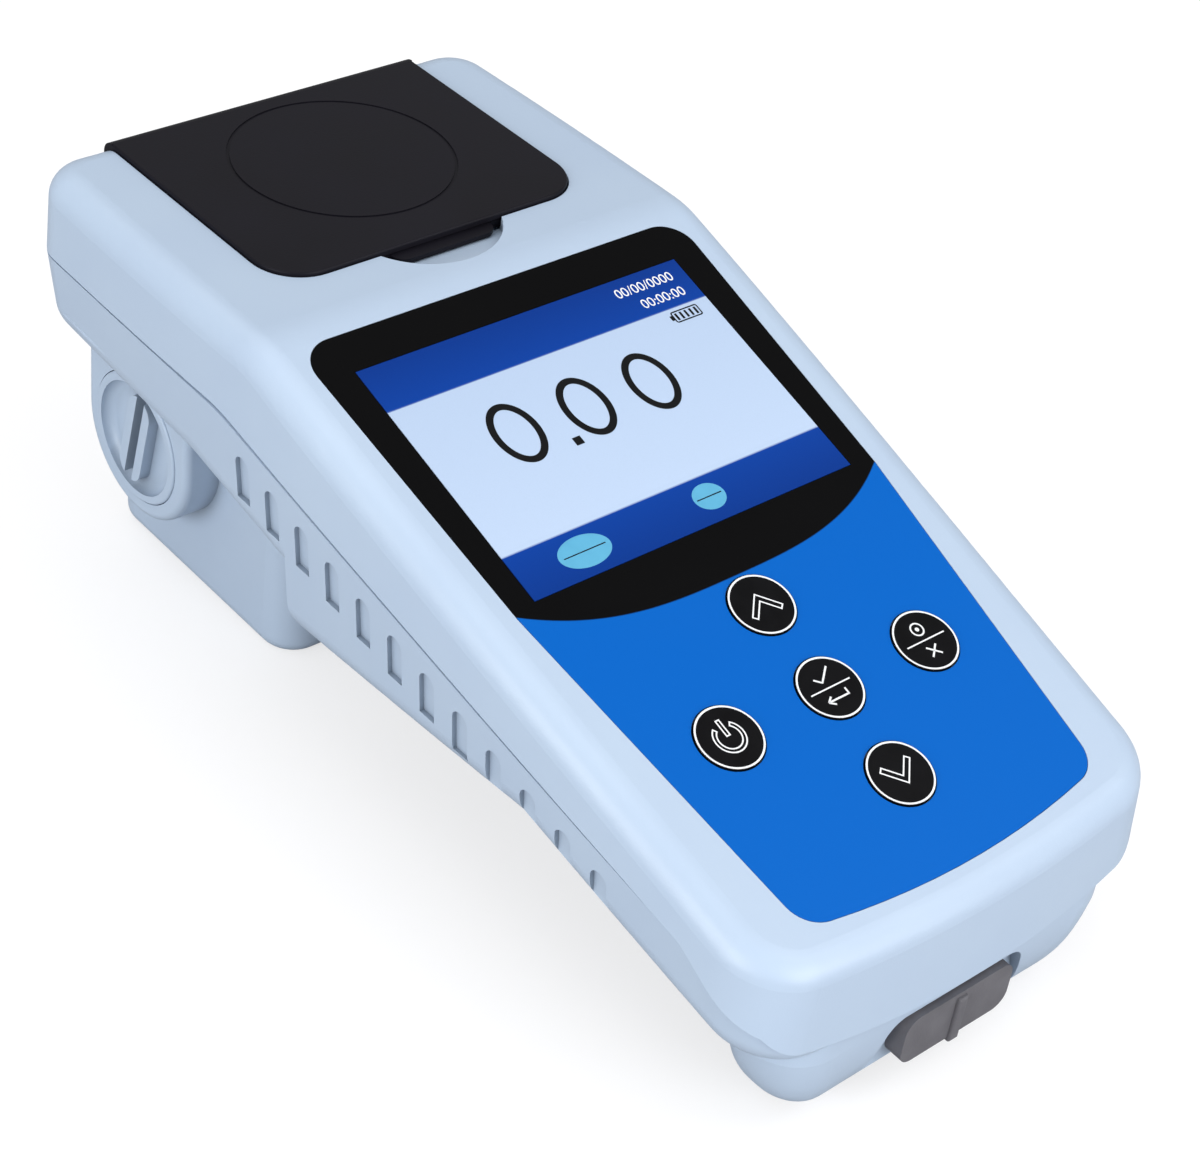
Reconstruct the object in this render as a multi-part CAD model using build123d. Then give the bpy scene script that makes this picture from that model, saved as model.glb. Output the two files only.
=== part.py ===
from build123d import *
import os
from math import cos, radians, sin, tan

# Portable turbidity meter: a two-part moulded casing with a sample well under a
# hinged lid, a sloping panel with a display and five keys, a deep optics pod with
# a twist cap on its left face, and a rubber port plug in the front foot.
# X is to the user's right, Y to the back, Z up; the origin is the middle of the
# footprint on the table. All sizes are in millimetres.

# Casing
casing_width = 97.0
casing_length = 203.0
deck_height = 79.9  # table to the level deck round the lid
wall = 2.4
seam_gap = 0.4
edge_round = 5.5  # top edges
under_round = 7.0  # bottom edges of the hand grip
half_width = casing_width / 2
rear_y = casing_length / 2
front_y = -casing_length / 2

# Plan shape at two levels; the walls between them are straight
rear_corner = 8.6
front_corner = 13.0
front_bow = 3.5  # how far the front wall bulges
waist_y = -10.0
waist_half = 49.0  # half width at the waist, at the seam
nose_half = 45.6  # half width at the seam, front end
upper_lean = 0.033  # the upper walls lean in by this much per mm up
nose_lean = 0.11  # the same at the front end

# Panel slope
crease_y = 32.6
crease_round = 22.0
panel_tilt = 16.6

# Seam between the two casings, as side-view points
seam_rear_z = 63.5
seam_bend_y = 39.3
seam_waist = (-12.0, 52.2)
seam_nose = (-80.0, 36.5)
seam_corner = (-96.0, 27.5)
seam_front_z = 20.3
seam_bend_round = 30.0

# Lower casing
skirt_rear_z = 47.2
skirt_bend = (50.0, 45.2)
grip_rear_y = 20.8
grip_rear_z = 26.6
grip_high = (-42.0, 31.6)
grip_front = (-88.0, 19.5)
skirt_gap_z = 39.0  # ceiling of the finger gap, at its front
wall_lean = 0.10  # the lower walls lean in by this much per mm down

# Optics pod under the lid
pod_half = 33.5
pod_front_y = 39.3
pod_rear_y = 97.0
pod_corner = 7.0
pod_foot_round = 3.0
boss_y = 77.8
boss_z = 31.0
boss_radius = 16.5
boss_face_x = -41.0

# Front feet, port notch and plug
# foot sections from the table up: height, half width, front, rear, corner radius
foot_levels = [(0.0, 23.5, -91.5, -86.0, 2.5), (2.0, 28.5, -94.6, -84.0, 4.5),
               (5.0, 32.5, -96.8, -82.0, 6.5), (10.0, 36.0, -98.6, -80.5, 8.5),
               (18.0, 38.5, -99.6, -80.0, 9.5)]
foot_top_z = 24.0
notch_half_top = 15.0
notch_half_foot = 19.5
notch_top_z = 17.2
notch_corner = 4.0
notch_depth = 4.5
bridge_z = 4.0  # underside of the bar between the feet
plug_half = 12.5
plug_bottom_z = 6.4
plug_top_z = 16.6
plug_thick = 3.6
plug_setback = 0.9
plug_neck_half = 5.0
plug_neck_rise = 2.0
plug_fit = 0.2
plug_neck_length = 2.0

# Grip slots
slot_count = 12
slot_pitch = 8.55
slot_first_y = 32.6
slot_width = 3.8
slot_height = 9.4
slot_depth = 0.9
slot_drop = 4.3  # seam to the top of a slot

# Lid and hinge
lid_width = 67.4
lid_front_y = 44.6
lid_rear_y = 100.4
lid_thick = 3.0
lid_proud = 0.8
lid_corner = 9.0
lid_gap = 0.3
lid_ring_radius = 20.7
lid_seal_outer = 17.6
lid_seal_inner = 14.6
lid_seal_thick = 1.1
barrel_radius = 2.6
pin_radius = 0.75
pin_fit = 0.05
pin_reach = 2.3  # into each cheek
tab_half = 11.0
tab_reach = 2.6
scoop_half = 13.5
scoop_reach = 8.6
scoop_depth = 3.0
shelf = 2.6  # thickness of the deck under the lid

# Sample well for a 25 mm vial, 60 mm tall
well_y = 74.0
well_bore = 12.9
well_wall = 2.0
well_depth = 62.0
well_floor = 2.0
well_flange_radius = 18.4
well_flange = 1.2
well_seal = 0.3

# Panel: s is the distance down the slope from the crease
overlay_thick = 0.8
overlay_top_s = 3.6
overlay_bend_s = 64.5
overlay_end_s = 130.2
overlay_top_half = 41.8
overlay_bend_half = 39.8
overlay_end_half = 32.9
overlay_bow = 3.3
overlay_corner = 6.0
screen_width = 70.2
screen_height = 51.3
screen_top_s = 11.5
screen_gap = 0.1
key_centre_s = 97.8
key_row = 18.1
key_column = 22.0
key_radius = 6.0
key_gap = 0.25
key_proud = 0.3
key_thick = 1.2
key_travel = 0.5
key_sink = 1.6  # counterbore under a key
key_stem = 2.4
key_collar = 3.3
key_collar_thick = 0.9
key_board_depth = 6.4  # panel face to the key board
key_board_top_s = 75.5
key_board_end_s = 122.5
key_board_half = 29.0
mat_thick = 0.6
dome_radius = 3.2
dome_rise = 1.8
board_thick = 1.6
lcd_half = 38.4
lcd_top_s = 8.0
lcd_end_s = 68.0
lcd_thick = 5.0
main_board_depth = 9.4
main_board_top_s = 2.0
main_board_end_s = 60.0
main_board_half = 43.6
post_radius = 2.4
main_post_x = 41.2
main_post_s = (5.2, 56.7)
key_post_x = 26.0
key_post_s = (78.4, 119.6)

# Optics, level with the twist cap
optic_z = 31.0
block_left_x = -16.8
block_right_x = 24.0
block_front_y = 48.0
block_rear_y = 94.4
block_low_z = 24.0
block_high_z = 38.0
beam_radius = 2.0
source_radius = 2.5
source_length = 7.4
lens_thick = 2.4
lens_setback = 1.0
detector_radius = 4.0
detector_length = 4.2
pillar_half = 3.0
optic_fit = 0.1

# Twist cap over the desiccant cup
cap_radius = 13.0
cap_fit = 0.15
cap_thick = 3.4
cap_proud = 0.4
cap_rim = 1.7
cap_dish = 2.3
cap_neck = 11.5
cap_neck_length = 4.4
bar_half = 3.4
bar_length = 20.0
bar_slot = 2.4
bar_lean = 12.0
ring_depth = 0.8
ring_setback = 1.4
ring_width = 1.2
cup_radius = 11.75
cup_length = 14.5
cup_wall = 1.2

# Battery bay in the hand grip; y and z below are along and into its underside
bay_centre_y = -12.2
bay_half = 28.5
bay_length_half = 23.2
cover_half = 33.6
cover_length_half = 25.0
cover_thick = 1.3
cover_seal = 0.4
cover_gap = 0.2
cell_radius = 7.1
cell_length = 49.5
cell_pitch = 15.4
cell_lift = 10.6
nub_radius = 2.7
nub_length = 1.0
tray_half = 28.2
tray_length_half = 24.6
tray_wall = 1.0
tray_roof = 1.2
contact_thick = 0.4
spring_radius = 3.0
cover_screw_x = 31.4

# Port behind the plug
port_half = 4.5
port_rise = 1.6
port_length = 7.4
pocket_half = 16.0
pocket_rear_y = -84.0

# Seal in the seam
seal_inset = 0.8
seal_width = 1.2

# Fasteners
screw_radius = 1.3
screw_head = 2.5
screw_head_thick = 1.8
screw_post = 3.2
screw_reach = 8.0  # above the seam
screw_bite = 15.0  # above the bottom of a front post
rear_screw = (38.0, 52.0)
rear_head_z = 49.5  # under the head of a rear screw
front_head_z = 15.0
front_screw = (27.0, -90.0)
screw_floor_z = 18.0  # bottom of the front screw posts
small_screw = 1.0
small_head = 1.8
small_head_thick = 0.8
small_screw_length = 5.0


def box(x0, x1, y0, y1, z0, z1):
    return Pos((x0 + x1) / 2, (y0 + y1) / 2, (z0 + z1) / 2) * Box(x1 - x0, y1 - y0, z1 - z0)


def side_prism(points, half):
    # a side-view outline in (Y, Z), extruded both ways along X
    face = make_face(Polyline(*points, close=True))
    return extrude(Plane.YZ * face, amount=half, both=True)


def rod_x(y, z, x0, x1, radius):
    return Pos((x0 + x1) / 2, y, z) * Rot(0, 90, 0) * Cylinder(radius, x1 - x0)


def rod_y(x, z, y0, y1, radius):
    return Pos(x, (y0 + y1) / 2, z) * Rot(90, 0, 0) * Cylinder(radius, y1 - y0)


def rod_z(x, y, z0, z1, radius):
    return Pos(x, y, (z0 + z1) / 2) * Cylinder(radius, z1 - z0)


def plan_outline(level, rear_half, waist_half, front_half, rear_end, front_end, inset):
    corner_y = front_end + front_bow
    right = ThreePointArc((rear_half, rear_end), (waist_half, waist_y), (front_half, corner_y))
    front = ThreePointArc((front_half, corner_y), (0, front_end), (-front_half, corner_y))
    left = ThreePointArc((-front_half, corner_y), (-waist_half, waist_y), (-rear_half, rear_end))
    rear = Line((-rear_half, rear_end), (rear_half, rear_end))
    face = make_face([right, front, left, rear])
    face = fillet(face.vertices().group_by(Axis.Y)[-1], rear_corner)
    face = fillet(face.vertices().group_by(Axis.Y)[0], front_corner)
    if inset:
        face = offset(face, amount=-inset)
    return Pos(0, 0, level) * face


def upper_hull(inset):
    # walls lean in on the way up, little by the lid and more at the nose
    low = plan_outline(0, half_width + seam_rear_z * upper_lean,
                       waist_half + seam_waist[1] * upper_lean,
                       nose_half + seam_nose[1] * nose_lean, rear_y + seam_rear_z * upper_lean,
                       front_y - seam_front_z * upper_lean, inset)
    rise = deck_height
    high = plan_outline(rise, half_width - (rise - seam_rear_z) * upper_lean,
                        waist_half - (rise - seam_waist[1]) * upper_lean,
                        nose_half - (rise - seam_nose[1]) * nose_lean,
                        rear_y - (rise - seam_rear_z) * upper_lean,
                        front_y + (rise - seam_front_z) * upper_lean, inset)
    return loft([low, high], ruled=True)


def lower_hull(inset):
    # walls lean in on the way down
    low = plan_outline(0, half_width - seam_rear_z * wall_lean,
                       waist_half - seam_waist[1] * wall_lean,
                       nose_half - seam_nose[1] * wall_lean, rear_y - seam_rear_z * wall_lean,
                       front_y + seam_front_z * wall_lean, inset)
    rise = seam_rear_z + 10
    high = plan_outline(rise, half_width + (rise - seam_rear_z) * wall_lean,
                        waist_half + (rise - seam_waist[1]) * wall_lean,
                        nose_half + (rise - seam_nose[1]) * wall_lean,
                        rear_y + (rise - seam_rear_z) * wall_lean,
                        front_y - (rise - seam_front_z) * wall_lean, inset)
    return loft([low, high], ruled=True)


def under_seam(lift):
    # everything below the seam line raised by lift
    line = [(rear_y + 20, seam_rear_z + lift), (seam_bend_y, seam_rear_z + lift),
            (seam_waist[0], seam_waist[1] + lift), (seam_nose[0], seam_nose[1] + lift),
            (seam_corner[0], seam_corner[1] + lift), (front_y, seam_front_z + lift),
            (front_y - 20, seam_front_z - 20 + lift)]
    face = make_face(Polyline(*line, (front_y - 20, -40), (rear_y + 20, -40), close=True))
    bends = face.vertices().filter_by(lambda v: abs(v.X - seam_bend_y) < 0.01
                                      or abs(v.X - seam_waist[0]) < 0.01)
    face = fillet(bends, seam_bend_round)
    nose = face.vertices().filter_by(lambda v: abs(v.X - seam_nose[0]) < 0.01)
    face = fillet(nose, 8)
    return extrude(Plane.YZ * face, amount=casing_width, both=True)


def panel_z(y, inset=0.0):
    return deck_height - inset / cos(radians(panel_tilt)) - (crease_y - y) * tan(radians(panel_tilt))


def top_prism(inset):
    end = front_y - 20
    crease = crease_y + inset * tan(radians(panel_tilt / 2))
    outline = [(rear_y + 20, -40), (rear_y + 20, deck_height - inset), (crease, deck_height - inset),
               (end, panel_z(end, inset)), (end, -40)]
    face = make_face(Polyline(*outline, close=True))
    bend = face.vertices().filter_by(lambda v: abs(v.X - crease) < 0.01)
    face = fillet(bend, crease_round)
    return extrude(Plane.YZ * face, amount=casing_width, both=True)


def rim_edges(block, faces):
    return [e for e in block.edges() if sum(e in f.edges() for f in faces) == 1]


def upper_block(inset):
    block = upper_hull(inset) & top_prism(inset)
    tops = block.faces().filter_by(lambda f: f.normal_at(f.center()).Z > 0.7)
    return fillet(rim_edges(block, tops), max(edge_round - inset, 1.0))


panel = Plane(origin=(0, crease_y, deck_height), x_dir=(1, 0, 0),
              z_dir=(0, -sin(radians(panel_tilt)), cos(radians(panel_tilt))))
grip_slope = (grip_high[1] - grip_rear_z) / (grip_rear_y - grip_high[0])
grip = Plane(origin=(0, bay_centre_y, grip_rear_z + (grip_rear_y - bay_centre_y) * grip_slope),
             x_dir=(1, 0, 0), z_dir=(0, grip_slope, 1))
lid_top = deck_height + lid_proud
lid_floor = lid_top - lid_thick
pocket_floor = lid_floor - 0.2
pin_y = lid_rear_y - barrel_radius
pin_z = lid_top - barrel_radius
pod_inner = pod_half - wall
port_z = (plug_bottom_z + plug_top_z) / 2
notch_y = front_y + notch_depth
key_places = {"key_power": (-key_column, 0), "key_up": (0, key_row), "key_enter": (0, 0),
              "key_down": (0, -key_row), "key_escape": (key_column, 0)}


def on_panel(shape):
    return panel.location * shape


def on_grip(shape):
    return grip.location * shape


def panel_rod(x, s, w0, w1, radius):
    return on_panel(rod_z(x, -s, w0, w1, radius))


def panel_box(half, top_s, end_s, w0, w1):
    return on_panel(box(-half, half, -end_s, -top_s, w0, w1))


def corners(x, values):
    return [(sign * x, v) for sign in (-1, 1) for v in values]


def overlay_outline(grow):
    bend = (overlay_bend_half, -overlay_bend_s)
    end = (overlay_end_half, -overlay_end_s)
    lines = [Line((-overlay_top_half, -overlay_top_s), (overlay_top_half, -overlay_top_s)),
             Line((overlay_top_half, -overlay_top_s), bend), Line(bend, end),
             ThreePointArc(end, (0, -overlay_end_s - overlay_bow), (-end[0], end[1])),
             Line((-end[0], end[1]), (-bend[0], bend[1])),
             Line((-bend[0], bend[1]), (-overlay_top_half, -overlay_top_s))]
    face = make_face(lines)
    rounded = [v for v in face.vertices() if abs(v.Y + overlay_bend_s) > 1]
    face = fillet(rounded, overlay_corner)
    return offset(face, amount=grow) if grow else face


def sheet(face, w0, w1):
    return on_panel(Pos(0, 0, w0) * extrude(face, amount=w1 - w0))


def lid_outline(grow, rear):
    face = Pos(0, (lid_front_y + rear) / 2) * Rectangle(lid_width, rear - lid_front_y)
    face = fillet(face.vertices().group_by(Axis.Y)[0], lid_corner)
    return offset(face, amount=grow, kind=Kind.INTERSECTION) if grow else face


def lid_slab(grow, rear, z0, z1):
    return Pos(0, 0, z0) * extrude(lid_outline(grow, rear), amount=z1 - z0)


def scoop():
    # thumb scoop in front of the lid, sloping down to the lid's edge
    radius = (scoop_half ** 2 + scoop_reach ** 2) / (2 * scoop_reach)
    edge_y = lid_front_y - scoop_reach
    bowl = rod_z(0, edge_y + radius, deck_height - 10, deck_height + 10, radius)
    ramp = side_prism([(edge_y, deck_height), (lid_front_y + 1, deck_height - scoop_depth),
                       (lid_front_y + 1, deck_height + 5), (edge_y, deck_height + 5)], scoop_half + 2)
    return bowl & ramp


def upper_casing(inner):
    shell = upper_block(0) - inner - under_seam(seam_gap)
    shelf_low = pocket_floor - shelf
    slab = box(-half_width, half_width, crease_y + 1, rear_y, shelf_low, pocket_floor)
    bed = box(-lid_width / 2 - pin_reach - 2, lid_width / 2 + pin_reach + 2,
              pin_y - barrel_radius - 2, rear_y, pocket_floor - 5, deck_height - 1)
    extra = slab + bed
    for x, y in corners(rear_screw[0], [rear_screw[1]]):
        extra += rod_z(x, y, seam_rear_z + seam_gap, deck_height - 1, screw_post)
    for x, y in corners(front_screw[0], [front_screw[1]]):
        extra += rod_z(x, y, screw_floor_z, deck_height, screw_post)
    for x, s in corners(main_post_x, main_post_s):
        extra += panel_rod(x, s, -main_board_depth, -1, post_radius)
    for x, s in corners(key_post_x, key_post_s):
        extra += panel_rod(x, s, -key_board_depth, -1, post_radius)
    shell += extra & inner
    shell -= lid_slab(lid_gap, rear_y + 20, pocket_floor, deck_height + 5)
    shell -= rod_x(pin_y, pin_z, -lid_width / 2 - lid_gap, lid_width / 2 + lid_gap,
                   barrel_radius + lid_gap)
    shell -= rod_x(pin_y, pin_z, -lid_width / 2 - pin_reach, lid_width / 2 + pin_reach, pin_radius)
    shell -= scoop()
    well_outer = well_bore + well_wall
    shell -= rod_z(0, well_y, shelf_low - 1, pocket_floor + 1, well_outer + optic_fit)
    shell -= rod_z(0, well_y, pocket_floor - well_flange - well_seal, pocket_floor + 1,
                   well_flange_radius + optic_fit)
    shell -= sheet(overlay_outline(screen_gap), -overlay_thick, 5)
    shell -= panel_box(screen_width / 2 + screen_gap, screen_top_s - screen_gap,
                       screen_top_s + screen_height + screen_gap, -wall - 3, 1)
    for dx, dy in key_places.values():
        s = key_centre_s - dy
        shell -= panel_rod(dx, s, -key_sink, 1, key_radius + key_gap + 0.1)
        shell -= panel_rod(dx, s, -wall - 1, 1, key_stem + key_gap)
    for x, y in corners(rear_screw[0], [rear_screw[1]]):
        shell -= rod_z(x, y, seam_rear_z - 5, seam_rear_z + screw_reach + 1, screw_radius)
    for x, y in corners(front_screw[0], [front_screw[1]]):
        shell -= rod_z(x, y, 0, screw_floor_z + screw_bite + 1, screw_radius)
    return shell


def skirt_block(inset):
    slope = (skirt_rear_z - skirt_bend[1]) / (rear_y - skirt_bend[0])
    rear_z = skirt_bend[1] + slope * (rear_y + 10 - skirt_bend[0])
    drop = (skirt_bend[1] - skirt_gap_z) / (skirt_bend[0] - grip_rear_y)
    start_y = grip_rear_y - 12
    points = [(rear_y + 10, rear_z + inset), (skirt_bend[0], skirt_bend[1] + inset),
              (start_y, skirt_bend[1] - drop * (skirt_bend[0] - start_y) + inset),
              (start_y, seam_rear_z + 8), (rear_y + 10, seam_rear_z + 8)]
    block = lower_hull(inset) & side_prism(points, casing_width)
    return round_under(block, inset)


def grip_block(inset):
    rear = grip_rear_y - inset
    slope = (grip_front[1] - grip_high[1]) / (grip_front[0] - grip_high[0])
    nose_z = grip_front[1] + slope * (front_y - 10 - grip_front[0])
    points = [(rear, seam_rear_z + 8), (rear, grip_rear_z + inset), (grip_high[0], grip_high[1] + inset),
              (front_y - 10, nose_z + inset), (front_y - 10, seam_rear_z + 8)]
    block = lower_hull(inset) & side_prism(points, casing_width)
    return round_under(block, inset)


def round_under(block, inset):
    floors = block.faces().filter_by(lambda f: f.normal_at(f.center()).Z < -0.7)
    return fillet(rim_edges(block, floors), max(under_round - inset, 2.0))


def pod_block(inset, top):
    half = pod_half - inset
    block = box(-half, half, pod_front_y + inset, pod_rear_y - inset, inset, top)
    block = fillet(block.edges().filter_by(Axis.Z), max(pod_corner - inset, 1.0))
    floor = block.faces().sort_by(Axis.Z)[0]
    return fillet(floor.edges(), max(pod_foot_round - inset, 0.6))


def foot_bar():
    sections = []
    for level, half, front, rear, corner in foot_levels:
        outline = Pos(0, (front + rear) / 2) * RectangleRounded(2 * half, rear - front, corner)
        sections.append(Pos(0, 0, level) * outline)
    bar = loft(sections)
    top = foot_levels[-1]
    bar += Pos(0, 0, top[0]) * extrude(Pos(0, 0, -top[0]) * sections[-1], amount=foot_top_z - top[0])
    return bar - box(-notch_half_foot, notch_half_foot, front_y - 10, top[3] + 10, -1, bridge_z)


def port_notch():
    # arch between the feet, wider at the table
    slant = (notch_half_foot - notch_half_top) / notch_top_z
    low = -5
    points = [(-notch_half_foot + slant * low, low), (notch_half_foot - slant * low, low),
              (notch_half_top, notch_top_z), (-notch_half_top, notch_top_z)]
    face = make_face(Polyline(*points, close=True))
    face = fillet(face.vertices().group_by(Axis.Y)[-1], notch_corner)
    arch = extrude(Plane.XZ * face, amount=-notch_y, both=False)
    reach = extrude(Plane.XZ * face, amount=-front_y + 10)
    return reach - arch


def grip_slots():
    cutter = None
    for i in range(slot_count):
        y = slot_first_y - i * slot_pitch
        top = seam_z(y) - slot_drop - slot_width / 2
        slot = box(-casing_width, casing_width, y - slot_width / 2, y + slot_width / 2,
                   top - slot_height + slot_width / 2, top)
        slot += rod_x(y, top, -casing_width, casing_width, slot_width / 2)
        cutter = slot if cutter is None else cutter + slot
    return cutter - lower_hull(slot_depth)


def seam_z(y):
    if y > seam_bend_y:
        return seam_rear_z
    if y > seam_waist[0]:
        share = (y - seam_waist[0]) / (seam_bend_y - seam_waist[0])
        return seam_waist[1] + share * (seam_rear_z - seam_waist[1])
    share = (y - seam_nose[0]) / (seam_waist[0] - seam_nose[0])
    return seam_nose[1] + share * (seam_waist[1] - seam_nose[1])


def knob_boss():
    boss = rod_x(boss_y, boss_z, boss_face_x, -pod_inner, boss_radius)
    boss += box(boss_face_x, -pod_inner, boss_y - boss_radius, boss_y + boss_radius,
                boss_z, skirt_bend[1] + under_round)
    face_edges = boss.faces().sort_by(Axis.X)[0].edges()
    return fillet(face_edges, 1.6)


def lower_casing():
    top = skirt_bend[1] + under_round
    outer = skirt_block(0) + grip_block(0) + pod_block(0, top) + knob_boss() + foot_bar()
    hollow = skirt_block(wall) + grip_block(wall) + pod_block(wall, top + 10)
    shell = (outer - hollow) & under_seam(0)
    for x, y in corners(rear_screw[0], [rear_screw[1]]):
        shell += rod_z(x, y, skirt_rear_z, seam_rear_z, screw_post)
    for x, y in corners(block_right_x - 6, [block_front_y + 5, block_rear_y - 5]):
        if x > 0:
            shell += box(x - pillar_half, x + pillar_half, y - pillar_half, y + pillar_half,
                         wall - 1, block_low_z)
    left = block_left_x + pillar_half + 3
    shell += box(left - pillar_half, left + pillar_half, block_front_y + 1, block_front_y + 6,
                 wall - 1, block_low_z)
    for x in (-cover_screw_x, cover_screw_x):
        shell += on_grip(rod_z(x, 0, wall - 1, wall + small_screw_length, 2.4))
    shell -= port_notch()
    shell -= grip_slots()
    shell -= rod_x(boss_y, boss_z, boss_face_x - 1, -pod_inner + 1, cap_neck + 2 * cap_fit)
    shell -= rod_x(boss_y, boss_z, boss_face_x - 1, boss_face_x + cap_thick - cap_proud,
                   cap_radius + cap_fit)
    # battery bay opening and the rebate for its cover
    shell -= on_grip(box(-bay_half, bay_half, -bay_length_half, bay_length_half, -1, wall + 1))
    shell -= on_grip(box(-cover_half - cover_gap, cover_half + cover_gap, -cover_length_half - cover_gap,
                         cover_length_half + cover_gap, -5, cover_thick + cover_seal))
    for x in (-cover_screw_x, cover_screw_x):
        shell -= on_grip(rod_z(x, 0, 0, wall + small_screw_length + 1, small_screw))
    # pocket and slot for the port
    pocket_low = port_z - port_rise - board_thick
    shell -= box(-pocket_half, pocket_half, notch_y + wall, pocket_rear_y, pocket_low, seam_nose[1])
    shell -= box(-plug_neck_half - plug_fit, plug_neck_half + plug_fit, notch_y - 1, notch_y + wall + 1,
                 port_z - plug_neck_rise - plug_fit, port_z + plug_neck_rise + plug_fit)
    for x, y in corners(rear_screw[0], [rear_screw[1]]):
        shell -= rod_z(x, y, 0, seam_rear_z + 1, screw_radius)
        shell -= rod_z(x, y, 0, rear_head_z, screw_head + 0.2)
    for x, y in corners(front_screw[0], [front_screw[1]]):
        shell -= rod_z(x, y, -1, seam_nose[1], screw_radius)
        shell -= rod_z(x, y, -1, front_head_z, screw_head + 0.2)
        shell -= rod_z(x, y, screw_floor_z, seam_nose[1] + 5, screw_post + 0.2)
    return shell


def case_seal():
    ring = upper_hull(seal_inset) - upper_hull(seal_inset + seal_width)
    return ring & (under_seam(seam_gap) - under_seam(0))


def front_overlay():
    skin = sheet(overlay_outline(0), -overlay_thick, 0)
    skin -= panel_box(screen_width / 2 + screen_gap, screen_top_s - screen_gap,
                      screen_top_s + screen_height + screen_gap, -5, 5)
    for dx, dy in key_places.values():
        skin -= panel_rod(dx, key_centre_s - dy, -5, 5, key_radius + key_gap)
    return skin


def display_window():
    return panel_box(screen_width / 2, screen_top_s, screen_top_s + screen_height, -overlay_thick, 0)


def lcd_module():
    body = panel_box(lcd_half, lcd_top_s, lcd_end_s, -wall - lcd_thick, -wall)
    face = panel_box(screen_width / 2, screen_top_s, screen_top_s + screen_height, -wall, -overlay_thick)
    return body + face


def key_cap(dx, dy):
    s = key_centre_s - dy
    disc = rod_z(0, 0, key_proud - key_thick, key_proud, key_radius)
    disc = fillet(disc.edges().sort_by(Axis.Z)[-1], 0.25)
    stem_end = -wall - key_collar_thick
    disc += rod_z(0, 0, stem_end, key_proud - key_thick, key_stem)
    disc += rod_z(0, 0, stem_end, -wall, key_collar)
    return on_panel(Pos(dx, -s, 0) * disc)


def keypad_mat():
    low = -key_board_depth
    mat = box(-key_board_half, key_board_half, -key_board_end_s, -key_board_top_s, low, low + mat_thick)
    for dx, dy in key_places.values():
        dome = Cone(dome_radius, dome_radius * 0.6, dome_rise)
        mat += Pos(dx, dy - key_centre_s, low + mat_thick + dome_rise / 2) * dome
    for x, s in corners(key_post_x, key_post_s):
        mat -= rod_z(x, -s, low - 1, low + 2, post_radius + 0.2)
    return on_panel(mat)


def key_board():
    low = -key_board_depth
    return panel_box(key_board_half, key_board_top_s, key_board_end_s, low - board_thick, low)


def main_board():
    low = -main_board_depth
    board = panel_box(main_board_half, main_board_top_s, main_board_end_s, low - board_thick, low)
    for x, s in corners(main_post_x, main_post_s):
        board -= panel_rod(x, s, low - board_thick - 1, low + 1, small_screw)
    return board


def board_screws():
    screws = []
    for x, s in corners(main_post_x, main_post_s):
        low = -main_board_depth - board_thick
        screw = panel_rod(x, s, low - small_head_thick, low, small_head)
        screws.append(screw + panel_rod(x, s, low, low + board_thick - 0.05, small_screw - 0.1))
    return Compound(children=screws)


def lid_plate():
    split = lid_floor + lid_thick / 2
    plate = lid_slab(-0.25, pin_y, split, lid_top)
    plate += lid_slab(0, pin_y, split + 0.3, lid_top)
    top = plate.faces().sort_by(Axis.Z)[-1]
    front = [e for e in top.edges() if e.center().Y < pin_y - 0.5]
    plate = fillet(front, 0.4)
    line = rod_z(0, well_y, lid_top - 0.2, lid_top + 1, lid_ring_radius + 0.3)
    line -= rod_z(0, well_y, lid_top - 1, lid_top + 2, lid_ring_radius - 0.3)
    return plate - line


def lid_frame():
    split = lid_floor + lid_thick / 2
    frame = lid_slab(0, pin_y, lid_floor, split)
    barrel = rod_x(pin_y, pin_z, -lid_width / 2, lid_width / 2, barrel_radius)
    frame += barrel - box(-lid_width, lid_width, 0, pin_y, split, lid_top + 5)
    tab = Pos(0, lid_front_y) * RectangleRounded(2 * tab_half, 2 * tab_reach, tab_reach * 0.95)
    frame += Pos(0, 0, lid_floor + 0.6) * extrude(tab, amount=0.9)
    frame -= rod_x(pin_y, pin_z, -lid_width, lid_width, pin_radius + pin_fit)
    groove = rod_z(0, well_y, lid_floor - 1, lid_floor + lid_seal_thick, lid_seal_outer + 0.1)
    groove -= rod_z(0, well_y, lid_floor - 2, lid_top, lid_seal_inner - 0.1)
    return frame - groove


def lid_seal():
    ring = rod_z(0, well_y, pocket_floor + 0.05, lid_floor + lid_seal_thick, lid_seal_outer)
    return ring - rod_z(0, well_y, 0, lid_top, lid_seal_inner)


def hinge_pin():
    reach = lid_width / 2 + pin_reach
    return rod_x(pin_y, pin_z, -reach, reach, pin_radius)


def sample_well():
    low = pocket_floor - well_depth
    tube = rod_z(0, well_y, low - well_floor, pocket_floor, well_bore + well_wall)
    tube += rod_z(0, well_y, pocket_floor - well_flange, pocket_floor, well_flange_radius)
    tube -= rod_z(0, well_y, low, pocket_floor + 1, well_bore)
    tube -= rod_y(0, optic_z, well_y - 30, well_y + 30, beam_radius)
    side = rod_x(well_y, optic_z, 0, 30, beam_radius)
    return tube - side


def well_gasket():
    low = pocket_floor - well_flange - well_seal
    ring = rod_z(0, well_y, low, low + well_seal, well_flange_radius)
    return ring - rod_z(0, well_y, low - 1, low + 2, well_bore + well_wall + optic_fit)


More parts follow.
